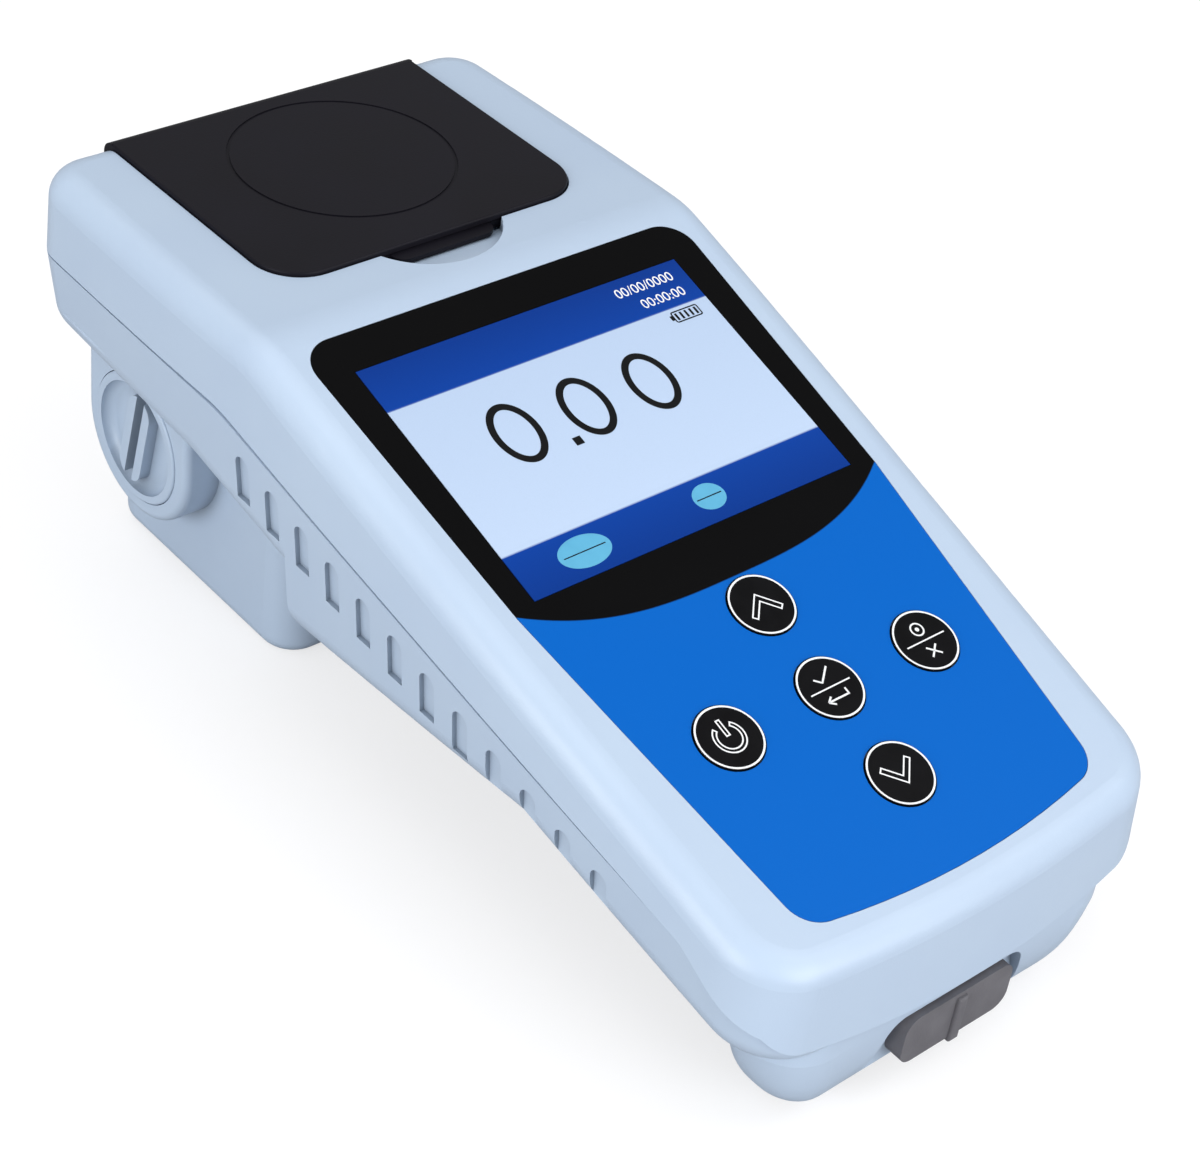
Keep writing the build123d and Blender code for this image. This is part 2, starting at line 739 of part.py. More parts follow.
def optics_block():
    block = box(block_left_x, block_right_x, block_front_y, block_rear_y, block_low_z, block_high_z)
    block -= rod_z(0, well_y, 0, 60, well_bore + well_wall + optic_fit)
    block -= rod_y(0, optic_z, block_front_y - 1, well_y, source_radius + 0.05)
    block -= rod_y(0, optic_z, well_y, block_rear_y + 1, detector_radius + 0.05)
    return block - rod_x(well_y, optic_z, 0, block_right_x + 1, detector_radius + 0.05)


def light_source():
    y = block_front_y + source_length
    bulb = rod_y(0, optic_z, block_front_y, y - source_radius, source_radius)
    return bulb + Pos(0, y - source_radius, optic_z) * Sphere(source_radius)


def source_lens():
    start = block_front_y + source_length + lens_setback
    lens = rod_y(0, optic_z, start, start + lens_thick, source_radius)
    ball = Pos(0, start - 1.2, optic_z) * Sphere(3.8)
    return lens & ball


def light_board():
    return box(-9, 9, block_front_y - board_thick, block_front_y, block_low_z - 2, block_high_z + 2)


def transmitted_detector():
    return rod_y(0, optic_z, block_rear_y - detector_length, block_rear_y, detector_radius)


def scatter_detector():
    return rod_x(well_y, optic_z, block_right_x - detector_length, block_right_x, detector_radius)


def sensor_board():
    return box(block_right_x, block_right_x + board_thick, well_y - 14, well_y + 14,
               block_low_z - 2, block_high_z + 2)


def twist_cap():
    face_x = boss_face_x - cap_proud
    back_x = face_x + cap_thick
    cap = rod_x(boss_y, boss_z, face_x, back_x, cap_radius)
    cap = fillet(cap.faces().sort_by(Axis.X)[0].edges(), 0.5)
    dish = rod_x(boss_y, boss_z, face_x - 1, face_x + cap_dish, cap_radius - cap_rim)
    dish = fillet(dish.faces().sort_by(Axis.X)[-1].edges(), cap_dish * 0.9)
    bar = box(face_x, back_x - 0.5, -bar_half, bar_half, -bar_length / 2, bar_length / 2)
    bar = fillet(bar.edges().filter_by(Axis.X), bar_half * 0.95)
    bar -= box(face_x - 1, face_x + cap_dish, -bar_slot / 2, bar_slot / 2, -bar_length, bar_length)
    cap = cap - dish + Pos(0, boss_y, boss_z) * Rot(bar_lean, 0, 0) * bar
    cap += rod_x(boss_y, boss_z, back_x, back_x + cap_neck_length, cap_neck)
    start = back_x + ring_setback
    groove = rod_x(boss_y, boss_z, start, start + ring_width, cap_neck + 1)
    return cap - (groove - rod_x(boss_y, boss_z, start - 1, start + 3, cap_neck - ring_depth))


def cap_ring():
    start = boss_face_x - cap_proud + cap_thick + ring_setback
    ring = rod_x(boss_y, boss_z, start + 0.05, start + ring_width - 0.05, cap_neck + cap_fit)
    return ring - rod_x(boss_y, boss_z, start - 1, start + 3, cap_neck - ring_depth)


def desiccant_cup():
    start = boss_face_x - cap_proud + cap_thick + cap_neck_length + 0.6
    cup = rod_x(boss_y, boss_z, start, start + cup_length, cup_radius)
    return cup - rod_x(boss_y, boss_z, start + cup_wall, start + cup_length - cup_wall,
                       cup_radius - cup_wall)


def port_plug():
    front = front_y + plug_setback
    height = plug_top_z - plug_bottom_z
    body = box(-plug_half, plug_half, front, notch_y, plug_bottom_z, plug_top_z)
    body = fillet(body.edges().filter_by(Axis.Y), height * 0.3)
    rib = box(-1.1, 1.1, front - 0.7, notch_y, plug_bottom_z - 0.6, plug_top_z - 1.0)
    rib = fillet(rib.faces().sort_by(Axis.Y)[0].edges(), 0.5)
    neck = box(-plug_neck_half, plug_neck_half, notch_y, notch_y + plug_neck_length,
               port_z - plug_neck_rise, port_z + plug_neck_rise)
    return body + rib + neck


def usb_socket():
    start = notch_y + wall + 0.1
    shell = box(-port_half, port_half, start, start + port_length, port_z - port_rise, port_z + port_rise)
    mouth = box(-port_half + 0.4, port_half - 0.4, start - 1, start + 5, port_z - port_rise + 0.4,
                port_z + port_rise - 0.4)
    tongue = box(-port_half + 1.2, port_half - 1.2, start + 0.8, start + 6, port_z - 0.35, port_z + 0.35)
    return shell - mouth + tongue


def port_board():
    start = notch_y + wall + 0.1
    low = port_z - port_rise - board_thick
    return box(-pocket_half + 0.2, pocket_half - 0.2, start, pocket_rear_y - 0.2, low, low + board_thick)


def battery_cover():
    plate = box(-cover_half, cover_half, -cover_length_half, cover_length_half, 0, cover_thick)
    plate = fillet(plate.edges().filter_by(Axis.Z), 2.0)
    for i in range(7):
        y = (i - 3) * 4.0
        plate -= box(-bay_half + 6, bay_half - 6, y - 0.7, y + 0.7, -1, 0.5)
    for x in (-cover_screw_x, cover_screw_x):
        plate -= rod_z(x, 0, -1, small_head_thick, small_head + 0.1)
        plate -= rod_z(x, 0, -1, cover_thick + 1, small_screw + 0.05)
    return on_grip(plate)


def battery_seal():
    high = cover_thick + cover_seal
    frame = box(-cover_half + 0.5, cover_half - 0.5, -cover_length_half + 0.5, cover_length_half - 0.5,
                cover_thick, high)
    frame -= box(-bay_half - 0.1, bay_half + 0.1, -bay_length_half - 0.1, bay_length_half + 0.1, 0, high + 1)
    for x in (-cover_screw_x, cover_screw_x):
        frame -= rod_z(x, 0, 0, high + 1, small_screw + 0.2)
    return on_grip(frame)


def cover_screws():
    screws = []
    for x in (-cover_screw_x, cover_screw_x):
        screw = rod_z(x, 0, 0, small_head_thick, small_head)
        screw += rod_z(x, 0, small_head_thick, wall + small_screw_length, small_screw - 0.05)
        screws.append(on_grip(screw))
    return Compound(children=screws)


def battery_tray():
    roof = cell_lift + cell_radius + tray_roof + 0.3
    tray = box(-tray_half, tray_half, -tray_length_half, tray_length_half, wall, roof)
    inner = tray_half - tray_wall
    tray -= box(-inner, inner, -tray_length_half + tray_wall, tray_length_half - tray_wall, 0, cell_lift)
    for i in (-1, 0, 1):
        tray -= Pos(0, i * cell_pitch, cell_lift) * Rot(0, 90, 0) * Cylinder(cell_radius + 0.3, 2 * inner)
    return on_grip(tray)


def battery_cells():
    cells = []
    for i in (-1, 0, 1):
        way = 1 if i else -1
        y = i * cell_pitch
        body = rod_x(y, cell_lift, -cell_length / 2, cell_length / 2, cell_radius)
        nub_x = way * (cell_length / 2)
        nub = rod_x(y, cell_lift, min(nub_x, nub_x + way * nub_length),
                    max(nub_x, nub_x + way * nub_length), nub_radius)
        cells.append(on_grip(body + nub))
    return Compound(children=cells)


def battery_contacts():
    pieces = []
    end = tray_half - tray_wall
    for i in (-1, 0, 1):
        way = 1 if i else -1
        y = i * cell_pitch
        flat = way * (cell_length / 2 + nub_length)
        flat_end = way * end
        plate = rod_x(y, cell_lift, min(flat, flat_end), max(flat, flat_end), nub_radius)
        spring_tip = -way * cell_length / 2
        spring_end = -way * end
        spring = rod_x(y, cell_lift, min(spring_tip, spring_end), max(spring_tip, spring_end), spring_radius)
        spring -= rod_x(y, cell_lift, -end - 1, end + 1, spring_radius - 1)
        pieces.append(on_grip(plate))
        pieces.append(on_grip(spring))
    return Compound(children=pieces)


def casing_screws():
    screws = []
    places = ((rear_screw, rear_head_z, seam_rear_z + screw_reach),
              (front_screw, front_head_z, screw_floor_z + screw_bite))
    for place, head_z, tip_z in places:
        for x, y in corners(place[0], [place[1]]):
            screw = rod_z(x, y, head_z - screw_head_thick, head_z, screw_head)
            screws.append(screw + rod_z(x, y, head_z, tip_z, screw_radius - 0.05))
    return Compound(children=screws)


def build():
    nodes = {
        "upper_casing": upper_casing(upper_block(wall)), "lower_casing": lower_casing(),
        "case_seal": case_seal(), "casing_screws": casing_screws(),
        "front_overlay": front_overlay(), "display_window": display_window(),
        "lcd_module": lcd_module(), "keypad_mat": keypad_mat(), "key_board": key_board(),
        "main_board": main_board(), "board_screws": board_screws(),
        "lid_plate": lid_plate(), "lid_frame": lid_frame(), "lid_seal": lid_seal(),
        "hinge_pin": hinge_pin(), "sample_well": sample_well(), "well_gasket": well_gasket(),
        "optics_block": optics_block(), "light_source": light_source(), "source_lens": source_lens(),
        "light_board": light_board(), "transmitted_detector": transmitted_detector(),
        "scatter_detector": scatter_detector(), "sensor_board": sensor_board(),
        "twist_cap": twist_cap(), "cap_ring": cap_ring(), "desiccant_cup": desiccant_cup(),
        "port_plug": port_plug(), "usb_socket": usb_socket(), "port_board": port_board(),
        "battery_cover": battery_cover(), "battery_seal": battery_seal(),
        "cover_screws": cover_screws(), "battery_tray": battery_tray(),
        "battery_cells": battery_cells(), "battery_contacts": battery_contacts(),
    }
    for name, (dx, dy) in key_places.items():
        nodes[name] = key_cap(dx, dy)
    return nodes


os.makedirs("parts", exist_ok=True)
for node, solid in build().items():
    export_step(solid, "parts/" + node + ".step")
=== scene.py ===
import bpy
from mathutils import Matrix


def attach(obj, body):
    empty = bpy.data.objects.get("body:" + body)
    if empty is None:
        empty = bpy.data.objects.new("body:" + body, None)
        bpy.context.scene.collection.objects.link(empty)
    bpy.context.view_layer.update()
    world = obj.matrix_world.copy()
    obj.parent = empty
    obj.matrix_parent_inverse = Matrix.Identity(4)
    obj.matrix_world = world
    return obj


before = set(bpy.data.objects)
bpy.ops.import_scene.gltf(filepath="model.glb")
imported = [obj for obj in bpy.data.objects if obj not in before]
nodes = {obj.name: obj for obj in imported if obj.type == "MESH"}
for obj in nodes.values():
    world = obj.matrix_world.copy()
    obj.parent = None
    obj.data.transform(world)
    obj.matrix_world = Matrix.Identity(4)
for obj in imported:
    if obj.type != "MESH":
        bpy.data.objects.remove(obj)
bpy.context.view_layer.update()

import math

import bmesh
import bpy
from mathutils import Matrix, Vector

mm = 0.001

# The front panel slopes down to the nose. x runs across it, s down it from its top edge, w out of it.
panel = {
    "top": Vector((0, 32.6, 79.9)) * mm,
    "down": Vector((0, -0.95832, -0.28569)),
    "out": Vector((0, -0.28569, 0.95832)),
}
panelMatrix = Matrix.Translation(panel["top"]) @ Matrix((
    (1, 0, 0, 0),
    (0, -panel["down"].y, panel["out"].y, 0),
    (0, -panel["down"].z, panel["out"].z, 0),
    (0, 0, 0, 1),
))


# helpers for materials

def linear(hexColour):
    channels = [int(hexColour[i:i + 2], 16) / 255 for i in (1, 3, 5)]
    return tuple(c / 12.92 if c <= 0.04045 else ((c + 0.055) / 1.055) ** 2.4 for c in channels) + (1.0,)


def addNode(tree, kind, settings=None, **sockets):
    # A socket is named with _ for its spaces, or i and its number. It holds a constant or is linked.
    node = tree.nodes.new(kind)
    for name, value in (settings or {}).items():
        setattr(node, name, value)
    for name, value in sockets.items():
        key = int(name[1:]) if name[0] == "i" and name[1:].isdigit() else name.replace("_", " ")
        if isinstance(value, bpy.types.NodeSocket):
            tree.links.new(value, node.inputs[key])
        else:
            node.inputs[key].default_value = value
    return node


def calc(tree, operation, first, second=0.0):
    return addNode(tree, "ShaderNodeMath", {"operation": operation}, i0=first, i1=second).outputs[0]


def times(tree, colour, factor):
    return addNode(tree, "ShaderNodeVectorMath", {"operation": "MULTIPLY"}, i0=colour, i1=factor).outputs[0]


def span(tree, value, low, high, toLow=0.0, toHigh=1.0):
    return addNode(tree, "ShaderNodeMapRange", i0=value, i1=low, i2=high, i3=toLow, i4=toHigh).outputs[0]


def noise(tree, coords, sizeMm, detail):
    texture = addNode(tree, "ShaderNodeTexNoise", Vector=coords, Scale=1 / (sizeMm * mm), Detail=detail)
    return texture.outputs[0]


def ramp(tree, factor, stops):
    node = addNode(tree, "ShaderNodeValToRGB", Fac=factor)
    elements = node.color_ramp.elements
    while len(elements) < len(stops):
        elements.new(0.5)
    for element, (place, colour) in zip(elements, stops):
        element.position = place
        element.color = linear(colour)
    return node.outputs["Color"]


def startMaterial(name):
    material = bpy.data.materials.new(name)
    material.use_nodes = True
    tree = material.node_tree
    tree.nodes.clear()
    coords = addNode(tree, "ShaderNodeTexCoord").outputs["Object"]
    return material, tree, coords


def closeMaterial(tree, shader):
    addNode(tree, "ShaderNodeOutputMaterial", Surface=shader)


def grainBump(tree, coords, grainMm, depthMm, strength=0.6):
    # fine moulded or cast grain
    height = noise(tree, coords, grainMm, 3.0)
    bump = addNode(tree, "ShaderNodeBump", Height=height, Strength=strength, Distance=depthMm * mm)
    return bump.outputs["Normal"]


noiseSpan = (0.3, 0.7)  # where most of a noise lies
# painted shade in slots and seams: how far the ambient occlusion reaches, its samples, and the AO range
# mapped to darker colour
paintedShadeLook = {"reachMm": 4, "samples": 8, "from": 0.35, "to": 0.95}
plainSockets = ("Metallic", "Specular IOR Level", "Transmission Weight", "Coat Weight", "Coat Roughness",
                "Subsurface Weight")


def makeSurface(name, look):
    material, tree, coords = startMaterial(name)
    low, high = noiseSpan
    cloud = noise(tree, coords, look["cloudMm"], 4.0)
    colour = ramp(tree, cloud, [(low, look["colour"]), (high, look["shade"])])
    if "paintedShade" in look:  # painted shade: ambient occlusion darkens the pale moulding's colour in its slots and seams
        shade = addNode(tree, "ShaderNodeAmbientOcclusion",
                        {"samples": paintedShadeLook["samples"], "only_local": True},
                        Distance=paintedShadeLook["reachMm"] * mm)
        tone = span(tree, shade.outputs["AO"], paintedShadeLook["from"], paintedShadeLook["to"], 1 - look["paintedShade"])
        colour = times(tree, colour, tone)
    rough = look["roughness"]
    spread = look.get("roughnessSpread", 0.04)
    roughness = span(tree, cloud, low, high, rough - spread, rough + spread)
    normal = grainBump(tree, coords, look["grainMm"], look["depthMm"])
    shader = addNode(tree, "ShaderNodeBsdfPrincipled", Base_Color=colour, Roughness=roughness, Normal=normal)
    for socket in plainSockets:
        if socket in look:
            shader.inputs[socket].default_value = look[socket]
    closeMaterial(tree, shader.outputs[0])
    return material


def dress(nodeName, material):
    data = nodes[nodeName].data
    data.materials.clear()
    data.materials.append(material)


print("materials of the casing")

casingLook = {  # ABS, moulded in a lightly etched tool: pale blue-grey with a broad satin sheen
    "colour": "#ABBCD0", "shade": "#A8B9CE", "roughness": 0.40,
    # the strength of the painted shade that darkens the slots and seams
    "cloudMm": 22, "grainMm": 0.35, "depthMm": 0.02, "paintedShade": 0.45,
    "Specular IOR Level": 0.45, "Coat Weight": 0.1, "Coat Roughness": 0.28,
}
mouldedAbs = makeSurface("mouldedAbs", casingLook)
for nodeName in ("upper_casing", "lower_casing", "battery_cover", "twist_cap"):
    dress(nodeName, mouldedAbs)

seamLook = {  # extruded silicone seal: a matt darker line between the two halves
    "colour": "#6C7E99", "shade": "#62748F", "roughness": 0.65,
    "cloudMm": 8, "grainMm": 0.2, "depthMm": 0.01,
    "Specular IOR Level": 0.3,
}
dress("case_seal", makeSurface("extrudedSilicone", seamLook))

sealLook = {  # moulded nitrile rubber: black and matt
    "colour": "#1B1B1E", "shade": "#232327", "roughness": 0.7,
    "cloudMm": 6, "grainMm": 0.25, "depthMm": 0.02,
    "Specular IOR Level": 0.3,
}
nitrileRubber = makeSurface("nitrileRubber", sealLook)
for nodeName in ("lid_seal", "well_gasket", "cap_ring", "battery_seal"):
    dress(nodeName, nitrileRubber)

plugLook = {  # soft thermoplastic rubber, moulded: mid grey with a dull, slightly uneven face
    "colour": "#59585D", "shade": "#656469", "roughness": 0.62,
    "cloudMm": 5, "grainMm": 0.5, "depthMm": 0.05,
    "Specular IOR Level": 0.35,
}
dress("port_plug", makeSurface("softRubber", plugLook))

lidLook = {  # black ABS, moulded: even and satin, with hardly any mirror
    "colour": "#131218", "shade": "#16151C", "roughness": 0.42,
    "cloudMm": 14, "grainMm": 0.4, "depthMm": 0.02,
    "Specular IOR Level": 0.1,
}
blackAbs = makeSurface("blackAbs", lidLook)
for nodeName in ("lid_plate", "lid_frame"):
    dress(nodeName, blackAbs)

print("materials of the panel")

# Polyester film printed from behind: flat black round the display, blue round the keys. The edge between
# the colours is a bow across the panel, lowest in the middle.
overlayLook = {
    "black": "#010102", "blue": "#005AB2",
    "middle": 73.0, "drop": 8.0, "halfWidth": 38.5, "power": 3.0, "softMm": 0.12,
    "roughness": 0.36, "roughnessSpread": 0.03, "cloudMm": 30,
    "grainMm": 0.3, "depthMm": 0.008, "bump": 0.4, "gloss": 0.08,
}


def panelPlaces(tree, coords):
    # x and s in millimetres, from the object's own coordinates
    axes = addNode(tree, "ShaderNodeSeparateXYZ", Vector=coords)
    top, down = panel["top"], panel["down"]
    alongY = calc(tree, "MULTIPLY", calc(tree, "SUBTRACT", axes.outputs["Y"], top.y), down.y / mm)
    alongZ = calc(tree, "MULTIPLY", calc(tree, "SUBTRACT", axes.outputs["Z"], top.z), down.z / mm)
    return calc(tree, "DIVIDE", axes.outputs["X"], mm), calc(tree, "ADD", alongY, alongZ)


def makeOverlay(name, look):
    material, tree, coords = startMaterial(name)
    low, high = noiseSpan
    x, s = panelPlaces(tree, coords)
    share = calc(tree, "DIVIDE", calc(tree, "ABSOLUTE", x), look["halfWidth"])
    rise = calc(tree, "MULTIPLY", calc(tree, "POWER", share, look["power"]), look["drop"])
    past = calc(tree, "SUBTRACT", s, calc(tree, "SUBTRACT", look["middle"], rise))
    blend = span(tree, past, -look["softMm"], look["softMm"])
    cloud = noise(tree, coords, look["cloudMm"], 2.0)
    colour = ramp(tree, blend, [(0.0, look["black"]), (1.0, look["blue"])])
    rough, spread = look["roughness"], look["roughnessSpread"]
    roughness = span(tree, cloud, low, high, rough - spread, rough + spread)
    normal = grainBump(tree, coords, look["grainMm"], look["depthMm"], look["bump"])
    shader = addNode(tree, "ShaderNodeBsdfPrincipled", Base_Color=colour, Roughness=roughness, Normal=normal)
    shader.inputs["Specular IOR Level"].default_value = look["gloss"]
    closeMaterial(tree, shader.outputs[0])
    return material


dress("front_overlay", makeOverlay("printedPolyester", overlayLook))

displayLook = {  # hard-coated acrylic over a lit colour display: two blue bands and a pale field
    "band": "#02307F", "bandLight": "#04388E", "field": "#A8BAD3", "fieldLow": "#AEC0D9",
    "top": 11.5, "bandEnd": 21.0, "lowBand": 53.6, "bottom": 62.8, "soft": 0.002,
    "cellMm": 0.22, "cellTone": 0.965,  # picture cells, drawn as coarse as they need to show
    "glow": 0.04, "roughness": 0.22, "gloss": 0.1, "coat": 0.08, "coatRoughness": 0.06,
}


def makeDisplay(name, look):
    material, tree, coords = startMaterial(name)
    s = panelPlaces(tree, coords)[1]
    height = look["bottom"] - look["top"]
    place = calc(tree, "DIVIDE", calc(tree, "SUBTRACT", s, look["top"]), height)
    first = (look["bandEnd"] - look["top"]) / height
    last = (look["lowBand"] - look["top"]) / height
    soft = look["soft"]
    picture = ramp(tree, place, [
        (0.0, look["band"]), (first - soft, look["bandLight"]), (first + soft, look["field"]),
        (last - soft, look["fieldLow"]), (last + soft, look["bandLight"]), (1.0, look["band"]),
    ])
    cells = addNode(tree, "ShaderNodeTexVoronoi", Vector=coords, Scale=1 / (look["cellMm"] * mm))
    tone = span(tree, cells.outputs["Distance"], 0.0, 1.0, 1.0, look["cellTone"])
    colour = times(tree, picture, tone)
    shader = addNode(tree, "ShaderNodeBsdfPrincipled", Base_Color=colour, Emission_Color=colour,
                     Emission_Strength=look["glow"], Roughness=look["roughness"])
    shader.inputs["Specular IOR Level"].default_value = look["gloss"]
    shader.inputs["Coat Weight"].default_value = look["coat"]
    shader.inputs["Coat Roughness"].default_value = look["coatRoughness"]
    closeMaterial(tree, shader.outputs[0])
    return material


dress("display_window", makeDisplay("displayPicture", displayLook))

keyLook = {  # polycarbonate key tops, lacquered black: smooth and closed
    "colour": "#050507", "shade": "#08080B", "roughness": 0.34,
    "cloudMm": 4, "grainMm": 0.3, "depthMm": 0.006,
    "Specular IOR Level": 0.1,
}
keys = {  # the node and body of each key, and its x and s on the panel in mm
    "power": ("key_power", "power_key", -22.0, 97.8),
    "up": ("key_up", "up_key", 0.0, 79.7),
    "enter": ("key_enter", "enter_key", 0.0, 97.8),
    "down": ("key_down", "down_key", 0.0, 115.9),
    "escape": ("key_escape", "escape_key", 22.0, 97.8),
}
lacqueredKey = makeSurface("lacqueredKey", keyLook)
for nodeName, *place in keys.values():
    dress(nodeName, lacqueredKey)

print("materials of the inside")

insideLooks = {
    "platedSteel": {  # rolled thread screws and a ground pin, nickel plated: bright
        "nodes": ("casing_screws", "board_screws", "hinge_pin", "cover_screws"),
        "colour": "#B9BABD", "shade": "#A9AAAE", "roughness": 0.28,
        "cloudMm": 3, "grainMm": 0.15, "depthMm": 0.01,
        "Metallic": 1.0,
    },
    "stampedTinplate": {  # the stamped frame of the display: dull grey metal
        "nodes": ("lcd_module",),
        "colour": "#8E9095", "shade": "#A0A2A6", "roughness": 0.4,
        "cloudMm": 9, "grainMm": 0.4, "depthMm": 0.01,
        "Metallic": 0.6,
    },
    "mouldedSilicone": {  # milky mat under the keys
        "nodes": ("keypad_mat",),
        "colour": "#D9D6CC", "shade": "#CFCBC0", "roughness": 0.55,
        "cloudMm": 7, "grainMm": 0.5, "depthMm": 0.03,
        "Subsurface Weight": 0.15,
    },
    "solderResist": {  # green lacquer on glass fibre board: glossy, with faint tracks under it
        "nodes": ("key_board", "main_board", "light_board", "sensor_board", "port_board"),
        "colour": "#0F5A33", "shade": "#1A6E3F", "roughness": 0.36,
        "cloudMm": 3, "grainMm": 0.6, "depthMm": 0.03,
        "Specular IOR Level": 0.5,
    },
    "mattAcetal": {  # black acetal, etched matt so that it swallows stray light
        "nodes": ("sample_well", "optics_block"),
        "colour": "#121214", "shade": "#18181B", "roughness": 0.72,
        "cloudMm": 5, "grainMm": 0.3, "depthMm": 0.03,
        "Specular IOR Level": 0.25,
    },
    "clearEpoxy": {  # cast lens and lamp body: clear and shiny
        "nodes": ("light_source", "source_lens"),
        "colour": "#EEF3F6", "shade": "#F6FAFC", "roughness": 0.06, "roughnessSpread": 0.02,
        "cloudMm": 4, "grainMm": 0.8, "depthMm": 0.004,
        "Transmission Weight": 0.9,
    },
    "goldPlatedCan": {  # drawn cans of the detectors, thinly gold plated
        "nodes": ("transmitted_detector", "scatter_detector"),
        "colour": "#C9B37A", "shade": "#BBA56C", "roughness": 0.3,
        "cloudMm": 2, "grainMm": 0.2, "depthMm": 0.01,
        "Metallic": 1.0,
    },
    "whitePolypropylene": {  # moulded cup of the drying agent: waxy white
        "nodes": ("desiccant_cup",),
        "colour": "#DADBD8", "shade": "#D0D1CE", "roughness": 0.5,
        "cloudMm": 6, "grainMm": 0.3, "depthMm": 0.02,
    },
    "drawnSteel": {  # drawn and tinned shell of the port
        "nodes": ("usb_socket",),
        "colour": "#A7A9AD", "shade": "#96989C", "roughness": 0.32,
        "cloudMm": 2, "grainMm": 0.15, "depthMm": 0.01,
        "Metallic": 1.0,
    },
    "mouldedNylon": {  # dark tray of the cells: plain and a little dull
        "nodes": ("battery_tray",),
        "colour": "#2B2D31", "shade": "#33353A", "roughness": 0.5,
        "cloudMm": 6, "grainMm": 0.35, "depthMm": 0.02,
    },
    "shrinkSleeve": {  # plain printed sleeve shrunk on the cells: smooth under a clear coat
        "nodes": ("battery_cells",),
        "colour": "#A8ABB0", "shade": "#9DA0A6", "roughness": 0.3,
        "cloudMm": 10, "grainMm": 0.6, "depthMm": 0.01,
        "Metallic": 0.3, "Coat Weight": 0.4, "Coat Roughness": 0.1,
    },
    "springSteel": {  # stamped contact plates, nickel plated
        "nodes": ("battery_contacts",),
        "colour": "#C4C6C8", "shade": "#B4B6B8", "roughness": 0.25,
        "cloudMm": 2, "grainMm": 0.2, "depthMm": 0.008,
        "Metallic": 1.0,
    },
}
for name, look in insideLooks.items():
    material = makeSurface(name, look)
    for nodeName in look["nodes"]:
        dress(nodeName, material)

print("prints")

inkLook = {  # the dark cells of the display
    "colour": "#050608", "shade": "#090A0D", "roughness": 0.4,
    "cloudMm": 3, "grainMm": 0.25, "depthMm": 0.004,
    "Specular IOR Level": 0.15,
}
whiteLook = {  # white screen-printing ink: flat, nearly matt
    "colour": "#E4E6E8", "shade": "#DDDFE2", "roughness": 0.5,
    "cloudMm": 3, "grainMm": 0.25, "depthMm": 0.004,
    "Specular IOR Level": 0.2,
}
buttonLook = {  # the light blue soft buttons of the display
    "colour": "#59A4C6", "shade": "#549FC1", "roughness": 0.4,
    "cloudMm": 3, "grainMm": 0.25, "depthMm": 0.004,
    "Specular IOR Level": 0.2,
}
darkCells = makeSurface("darkCells", inkLook)
whiteInk = makeSurface("whiteInk", whiteLook)
paleCells = makeSurface("paleCells", buttonLook)


# Helpers for prints. A print is drawn flat, in mm, with up towards the lid, then laid on the panel.

def placed(x, s, w):
    return panelMatrix @ Matrix.Translation(Vector((x, -s, w)) * mm) @ Matrix.Scale(mm, 4)


def addDisc(bm, x, up, halfWidth, halfHeight, segments=72):
    matrix = Matrix.Translation((x, up, 0)) @ Matrix.Diagonal((halfWidth, halfHeight, 1, 1))
    made = bmesh.ops.create_circle(bm, cap_ends=True, segments=segments, radius=1.0, matrix=matrix)
    return made["verts"][0].link_faces[:]


def addBar(bm, start, end, width):
    start, end = Vector(start), Vector(end)
    along = end - start
    middle = (start + end) / 2
    turn = Matrix.Rotation(math.atan2(along.y, along.x), 4, "Z")
    size = Matrix.Diagonal((along.length / 2, width / 2, 1, 1))
    made = bmesh.ops.create_grid(bm, x_segments=1, y_segments=1, size=1.0,
                                 matrix=Matrix.Translation((middle.x, middle.y, 0)) @ turn @ size)
    return made["verts"][0].link_faces[:]


def hollow(bm, faces, stroke):
    # keep only a rim of one stroke inside the outline
    bm.normal_update()
    bmesh.ops.inset_region(bm, faces=faces, thickness=stroke, use_boundary=True, use_even_offset=True)
    bmesh.ops.delete(bm, geom=faces, context="FACES")


def roundCorners(bm, faces, radius, segments=5):
    corners = list({v for f in faces for v in f.verts})
    bmesh.ops.bevel(bm, geom=corners, offset=radius, offset_type="OFFSET", affect="VERTICES",
                    segments=segments, profile=0.5, material=-1)
    return [f for f in bm.faces if len(f.verts) > 4]


def finishPrint(bm, name, x, s, w, material, body):
    bmesh.ops.transform(bm, matrix=placed(x, s, w), verts=bm.verts)
    bm.normal_update()
    inward = [f for f in bm.faces if f.normal.dot(panel["out"]) < 0]
    if inward:
        bmesh.ops.reverse_faces(bm, faces=inward)
    mesh = bpy.data.meshes.new(name)
    bm.to_mesh(mesh)
    bm.free()
    piece = bpy.data.objects.new(name, mesh)
    bpy.context.scene.collection.objects.link(piece)
    mesh.materials.append(material)
    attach(piece, body)


displayLift = 0.012  # the figures lie just over the window, in mm

# the reading, 0.00
reading = {"zeros": (-16.9, -1.9, 12.7), "s": 33.2, "half": (4.7, 6.5), "stroke": 1.35,
           "dot": (-7.9, -5.6), "dotSize": 1.7}
bm = bmesh.new()
for x in reading["zeros"]:
    hollow(bm, addDisc(bm, x, 0, *reading["half"]), reading["stroke"])
dotX, dotUp = reading["dot"]
dotHalf = reading["dotSize"] / 2
addBar(bm, (dotX - dotHalf, dotUp), (dotX + dotHalf, dotUp), reading["dotSize"])
finishPrint(bm, "readingFigures", 0, reading["s"], displayLift, darkCells, "casing")

